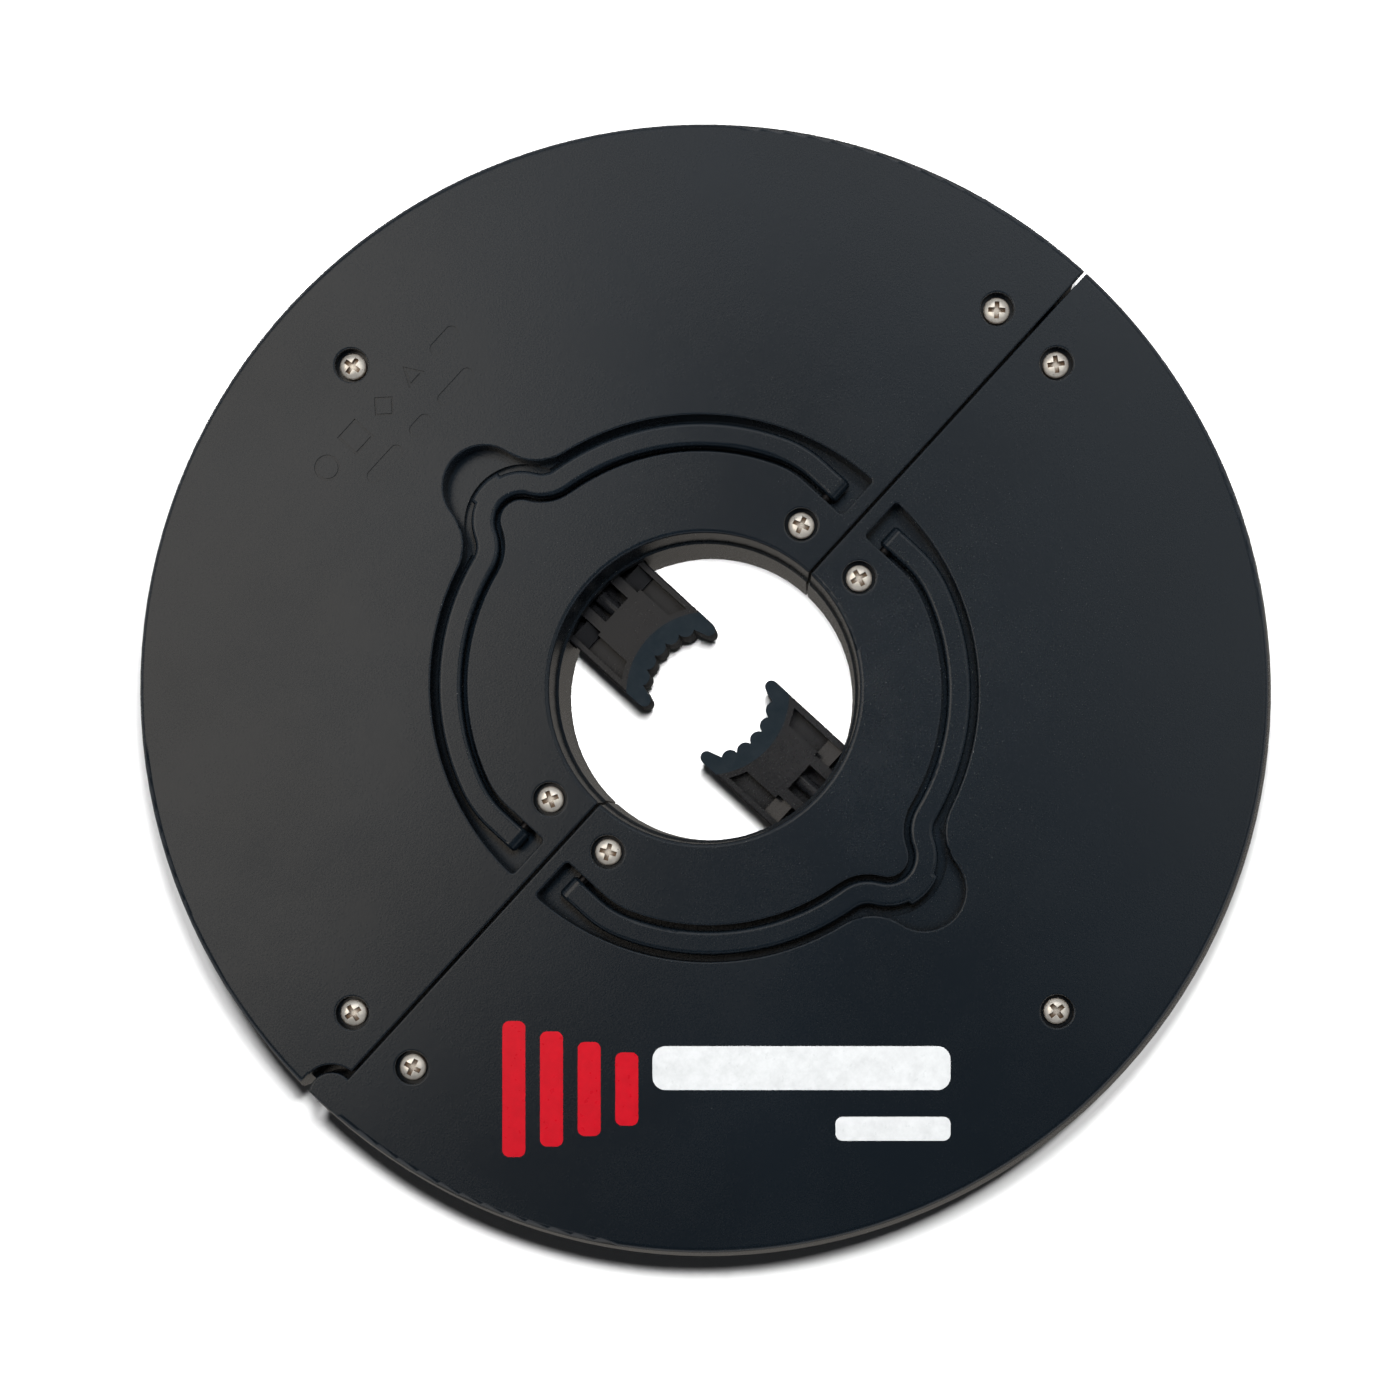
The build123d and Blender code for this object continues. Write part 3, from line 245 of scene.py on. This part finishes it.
def satin_plastic(name, color, roughness, grain=2600.0, dust=True):
    """Moulded black plastic: fine spark-eroded grain, faint patches, painted shade in its gaps and a
    little dust.
    """
    shader = Shader(name, color, roughness, IOR=PLASTIC_IOR)
    lighter = scaled(color, PATCH_TINT)
    patches = shader.noise(14.0, 3.0, 0.55)
    base = shader.mix(shader.ramp(patches, 0.35, 0.65), color, lighter)
    if dust:
        dots = shader.specks(150.0, 0.014)
        rare = shader.ramp(shader.noise(55.0, 1.0), 0.60, 0.64, 0.0, 0.35)
        base = shader.mix(shader.math("MULTIPLY", dots, rare), base, DUST_GREY)
    # painted shade: closed-in gaps and corners darken to a quarter of the colour
    painted_gap_shade = scaled(color, GAP_SHADE)
    shader.color(shader.mix(shader.crevice_shade(GAP_REACH, 0.80, 0.35), base, painted_gap_shade))
    fine = shader.noise(grain, 2.0, 0.6)
    smear = shader.spread(shader.noise(38.0, 4.0, 0.6), -0.035, 0.035)
    sparkle = shader.spread(fine, -0.03, 0.03)
    uneven = shader.math("ADD", shader.math("ADD", smear, sparkle), roughness)
    shader.roughness(uneven)
    shader.bump([(fine, FINE_DEPTH, 0.5), (shader.noise(420.0, 1.0), 0.00006, 0.12)])
    return shader.material


def pad_rubber():
    """Matte rubber with a slight bloom on its high spots."""
    shader = Shader("pad_rubber", PAD_BLACK, 0.72, Specular_IOR_Level=0.35)
    bloom = shader.ramp(shader.noise(260.0, 4.0, 0.65), 0.42, 0.72, 0.0, 0.5)
    shader.color(shader.mix(bloom, PAD_DEEP, PAD_BLOOM))
    shader.roughness(shader.spread(shader.noise(500.0, 2.0), 0.62, 0.8))
    shader.bump([(shader.noise(1600.0, 3.0, 0.7), 0.00008, 0.35)])
    return shader.material


def plated_steel(name, color, roughness, metallic=1.0):
    """Plated or bare steel with fine marks, cloudy tarnish, and brown dirt with painted shade in its
    recesses.
    """
    shader = Shader(name, color, roughness, Metallic=metallic)
    cloud = shader.ramp(shader.noise(700.0, 3.0, 0.6), 0.4, 0.75, 0.0, 0.55)
    tarnished = shader.mix(cloud, color, scaled(color, TARNISH_SHADE))
    # brown dirt and painted shade: the colour darkens in recesses to the shares given
    grime_and_shade = tuple(channel * share for channel, share in zip(color, GRIME_AND_SHADE_SHARES))
    shader.color(shader.mix(shader.crevice_shade(GRIME_AND_SHADE_REACH, 0.90, 0.60), tarnished, grime_and_shade))
    marks = shader.noise(SCRATCH_SCALE, 4.0, 0.7)
    shader.roughness(shader.spread(marks, roughness * 0.7, roughness * 1.4))
    shader.bump([(shader.noise(2400.0, 2.0), 0.00002, 0.3)])
    return shader.material


def milky_lens():
    """Diffusing strip: cloudy, finely pitted milky plastic."""
    shader = Shader("milky_lens", LENS_WHITE, 0.42, Subsurface_Weight=0.25, IOR=LENS_IOR)
    shader.surface.inputs["Subsurface Radius"].default_value = (LENS_SCATTER,) * 3
    cloud = shader.spread(shader.noise(60.0, 3.0))
    shader.color(shader.mix(cloud, LENS_COOL, LENS_WARM))
    shader.roughness(shader.spread(shader.noise(300.0, 2.0), 0.36, 0.5))
    shader.bump([(shader.noise(2200.0, 1.0), 0.00004, 0.35)])
    return shader.material


def circuit_board(name, color):
    """Solder mask with a grid of faint raised tracks."""
    shader = Shader(name, color, 0.38)
    tracks = shader.node("ShaderNodeTexBrick")
    tracks.inputs["Scale"].default_value = TRACK_SCALE
    shader.link(shader.place, tracks.inputs["Vector"])
    lighter = tuple(min(1.0, channel * TRACK_TINT) for channel in color)
    shader.color(shader.mix(tracks.outputs["Fac"], color, lighter))
    shader.roughness(shader.spread(shader.noise(400.0), 0.3, 0.45))
    shader.bump([(tracks.outputs["Fac"], FINE_DEPTH, 0.4)])
    return shader.material


def led_phosphor():
    """Yellow phosphor gel with fine grains."""
    shader = Shader("led_phosphor", PHOSPHOR, 0.35)
    grain = shader.ramp(shader.noise(1800.0, 3.0), 0.35, 0.65)
    shader.color(shader.mix(grain, PHOSPHOR_DARK, PHOSPHOR_PALE))
    shader.bump([(shader.noise(1500.0), FINE_DEPTH, 0.3)])
    return shader.material


def cell_sleeve():
    """Plain dark green sleeve, scuffed in places."""
    shader = Shader("cell_sleeve", SLEEVE_GREEN, 0.28, Coat_Weight=0.3)
    wear = shader.ramp(shader.noise(180.0, 4.0), 0.45, 0.75, 0.0, 0.4)
    shader.color(shader.mix(wear, SLEEVE_GREEN, SLEEVE_SCUFF))
    shader.roughness(shader.spread(shader.noise(240.0), 0.22, 0.36))
    shader.bump([(shader.noise(350.0, 2.0), FINE_DEPTH, 0.2)])
    return shader.material


def wire_sleeve():
    """Red wire insulation, paler in places."""
    shader = Shader("wire_sleeve", WIRE_RED, 0.45)
    fade = shader.spread(shader.noise(300.0, 3.0))
    shader.color(shader.mix(fade, WIRE_DARK, WIRE_PALE))
    shader.bump([(shader.noise(900.0), FINE_DEPTH, 0.3)])
    return shader.material


def printing_ink(name, color):
    """Screen-printed ink: a slightly uneven film with a soft gloss."""
    shader = Shader(name, color, 0.32)
    thin = shader.ramp(shader.noise(500.0, 4.0, 0.7), 0.35, 0.75)
    shader.color(shader.mix(thin, color, scaled(color, INK_WEAR)))
    shader.roughness(shader.spread(shader.noise(700.0, 2.0), 0.26, 0.42))
    shader.bump([(shader.noise(1300.0, 2.0), FINE_DEPTH, 0.4)])
    return shader.material


def paint_cad_nodes():
    """Gives every CAD node the finish of its material slot."""
    finishes = {
        "shell": satin_plastic("shell_plastic", SHELL, 0.26),
        "hanger": satin_plastic("hanger_plastic", SHELL, 0.26, dust=False),
        "jaw": satin_plastic("jaw_plastic", JAW_GREY, 0.28, grain=1900.0, dust=False),
        "pad_rubber": pad_rubber(),
        "screw_steel": plated_steel("screw_nickel", NICKEL, 0.36, metallic=0.82),
        "pin_steel": plated_steel("blackened_steel", BLACKENED, 0.40),
        "spring_steel": plated_steel("spring_steel", DRAWN_WIRE, 0.32),
        "magnet": plated_steel("magnet_nickel", MAGNET_NICKEL, 0.22),
        "contact_metal": plated_steel("contact_nickel", CONTACT_NICKEL, 0.30),
        "lens": milky_lens(),
        "board": circuit_board("white_board", BOARD_WHITE),
        "led": led_phosphor(),
        "cell_jacket": cell_sleeve(),
        "wire": wire_sleeve(),
        "button": satin_plastic("button_plastic", JAW_GREY, 0.36, dust=False),
        "switch": satin_plastic("switch_plastic", JAW_GREY, 0.5, dust=False),
    }
    slots = {row["node"]: row["material_slot"] for row in frame["record"]["subparts"]}
    for name, node in frame["nodes"].items():
        node.data.materials.clear()
        node.data.materials.append(finishes[slots[name]])


# ---- the printed mark on half b: plain rounded stripes, thin films of ink ----

MARK_CENTRE = Vector((-0.0541, -0.0544, 0.0))
# in millimetres from the mark's centre; a bar is (along, across, length, height)
RED_START = -40.0
RED_STEP = 7.2
RED_WIDTH = 4.4
RED_TALLEST = 26.0
RED_DROP = 4.0
RED_COUNT = 4
RED_BARS = [
    (RED_START + RED_STEP * index, 0.0, RED_WIDTH, RED_TALLEST - RED_DROP * index)
    for index in range(RED_COUNT)
]
WHITE_BARS = [(15.0, 4.0, 57.0, 8.4), (32.5, -7.6, 22.0, 4.6)]
# the film stands this far above and below the cover's top, in metres
INK_LIFT = 0.00001
# corner radius as a share of the bar's shorter side
INK_CORNER = 0.3
INK_CORNER_STEPS = 10


def rounded_bar(bm, centre, length, height, radius):
    """Adds a thin rounded bar, drawn in the picture's directions, to a mesh."""
    corners = []
    for sign_x, sign_y, start in ((1, 1, 0), (-1, 1, 90), (-1, -1, 180), (1, -1, 270)):
        for step in range(INK_CORNER_STEPS + 1):
            angle = math.radians(start + 90 * step / INK_CORNER_STEPS)
            along = sign_x * (length / 2 - radius) + radius * math.cos(angle)
            across = sign_y * (height / 2 - radius) + radius * math.sin(angle)
            corners.append(centre + PICTURE_RIGHT * along + PICTURE_UP * across)
    low = [bm.verts.new((point.x, point.y, TOP_Z - INK_LIFT)) for point in corners]
    high = [bm.verts.new((point.x, point.y, TOP_Z + INK_LIFT)) for point in corners]
    bm.faces.new(high)
    bm.faces.new(list(reversed(low)))
    for index in range(len(corners)):
        after = (index + 1) % len(corners)
        bm.faces.new((low[index], low[after], high[after], high[index]))


def printed_mark(name, bars, material):
    """One colour of the mark: bars given as (along, across, length, height) in millimetres."""
    bm = bmesh.new()
    for along, across, length, height in bars:
        centre = MARK_CENTRE + PICTURE_RIGHT * along * MM + PICTURE_UP * across * MM
        corner = INK_CORNER * min(length, height)
        rounded_bar(bm, centre, length * MM, height * MM, corner * MM)
    mesh = bpy.data.meshes.new(name)
    bm.to_mesh(mesh)
    bm.free()
    mesh.materials.append(material)
    mark = bpy.data.objects.new(name, mesh)
    bpy.context.scene.collection.objects.link(mark)
    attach(mark, "half_b")


# ---- stage ----

FLOOR_REACH = 3.0
FLOOR_DROP = 0.0001
FLOOR_GREYS = ((0.855, 0.855, 0.86), (0.87, 0.87, 0.865))

# sines of the angles off level between which the walls fade, then their strengths there
WALL_FADE = (0.15, 0.62, 0.72, 0.02)
WALL_COLOR = (0.92, 0.95, 1.0)
FILL_STRENGTH = 0.02

# places as (right, up the picture, height), in metres from the middle of the ring's underside
SUN_STRENGTH = 2.1
SUN_ANGLE = math.radians(5.0)
SUN_TOWARD = (0.12, 0.31, 1.0)
KEY_PLACE = (0.026, 0.036, TOP_Z + 0.386)
KEY_SIZE = 0.066
KEY_POWER = 2.75
# (name, place, size, power, colour); the last one stands for what the floor throws up
PANELS = [
    ("left_panel", (-0.55, 0.17, 1.0), 0.90, 3.2, (1.0, 0.91, 0.80)),
    ("top_panel", (0.02, 0.72, 1.0), 0.86, 1.6, (1.0, 1.0, 1.0)),
    ("right_panel", (0.60, 0.26, 1.0), 1.06, 1.5, (1.0, 0.98, 0.92)),
    ("floor_bounce", (0.0, 0.0, -0.6), 6.0, 17.0, (1.0, 0.93, 0.84)),
]


def make_floor():
    """Plain paper under the ring, which the ring doesn't reflect."""
    height = CAD_BOX[0].z - FLOOR_DROP
    bpy.ops.mesh.primitive_plane_add(size=2 * FLOOR_REACH, location=(0, 0, height))
    floor = bpy.context.object
    floor.name = "floor"
    shader = Shader("floor_paper", FLOOR_GREYS[0], 0.9, Specular_IOR_Level=0.1)
    shader.color(shader.mix(shader.noise(3.0, 2.0), *FLOOR_GREYS))
    floor.data.materials.append(shader.material)
    floor.visible_glossy = False


def studio_place(right, up_picture, height):
    """A point given along the picture's directions, in metres from the ring's middle."""
    return PICTURE_RIGHT * right + PICTURE_UP * up_picture + UP * height


def soft_disc(name, place, size, power, color=(1.0, 1.0, 1.0)):
    """A round soft light that faces straight down."""
    data = bpy.data.lights.new(name, "AREA")
    data.shape = "DISK"
    data.size = size
    data.energy = power
    data.color = color
    light = bpy.data.objects.new(name, data)
    light.location = place
    bpy.context.scene.collection.objects.link(light)
    return light


def reflected_panel(name, place, size, power, color):
    """A soft disc aimed at the ring, which shows only in what the ring reflects."""
    light = soft_disc(name, place, size, power, color)
    light.rotation_euler = (-place).to_track_quat("-Z", "Y").to_euler()
    light.visible_diffuse = False


def studio_walls():
    """Pale walls that fade to dark above and below, and hardly light the shadows."""
    world = bpy.data.worlds.new("studio")
    world.use_nodes = True
    tree = world.node_tree
    background = tree.nodes["Background"]
    background.inputs["Color"].default_value = (*WALL_COLOR, 1.0)
    direction = tree.nodes.new("ShaderNodeTexCoord")
    height = tree.nodes.new("ShaderNodeSeparateXYZ")
    tree.links.new(direction.outputs["Generated"], height.inputs["Vector"])
    wall = tree.nodes.new("ShaderNodeMapRange")
    wall.interpolation_type = "SMOOTHSTEP"
    for socket, value in zip(("From Min", "From Max", "To Min", "To Max"), WALL_FADE):
        wall.inputs[socket].default_value = value
    level = tree.nodes.new("ShaderNodeMath")
    level.operation = "ABSOLUTE"
    tree.links.new(height.outputs["Z"], level.inputs[0])
    tree.links.new(level.outputs["Value"], wall.inputs["Value"])
    path = tree.nodes.new("ShaderNodeLightPath")
    strength = tree.nodes.new("ShaderNodeMix")
    strength.inputs["B"].default_value = FILL_STRENGTH
    tree.links.new(path.outputs["Is Diffuse Ray"], strength.inputs["Factor"])
    tree.links.new(wall.outputs["Result"], strength.inputs["A"])
    tree.links.new(strength.outputs["Result"], background.inputs["Strength"])
    world.cycles.sampling_method = "NONE"
    bpy.context.scene.world = world


def make_sun():
    """A soft distant light that keeps the floor pale away from the object."""
    data = bpy.data.lights.new("sun", "SUN")
    data.energy = SUN_STRENGTH
    data.angle = SUN_ANGLE
    sun = bpy.data.objects.new("sun", data)
    sun.rotation_euler = (-studio_place(*SUN_TOWARD)).to_track_quat("-Z", "Y").to_euler()
    sun.visible_glossy = False
    bpy.context.scene.collection.objects.link(sun)


def make_lights():
    """A small near light makes the shadows, the panels make the sheen."""
    key = soft_disc("key", studio_place(*KEY_PLACE), KEY_SIZE, KEY_POWER)
    key.visible_glossy = False
    make_sun()
    for name, place, size, power, color in PANELS:
        reflected_panel(name, studio_place(*place), size, power, color)
    studio_walls()
    bpy.context.scene.view_settings.view_transform = "Standard"


make_camera()
paint_cad_nodes()
printed_mark("printed_mark_red", RED_BARS, printing_ink("ink_red", INK_RED))
printed_mark("printed_mark_white", WHITE_BARS, printing_ink("ink_white", INK_WHITE))
make_floor()
make_lights()
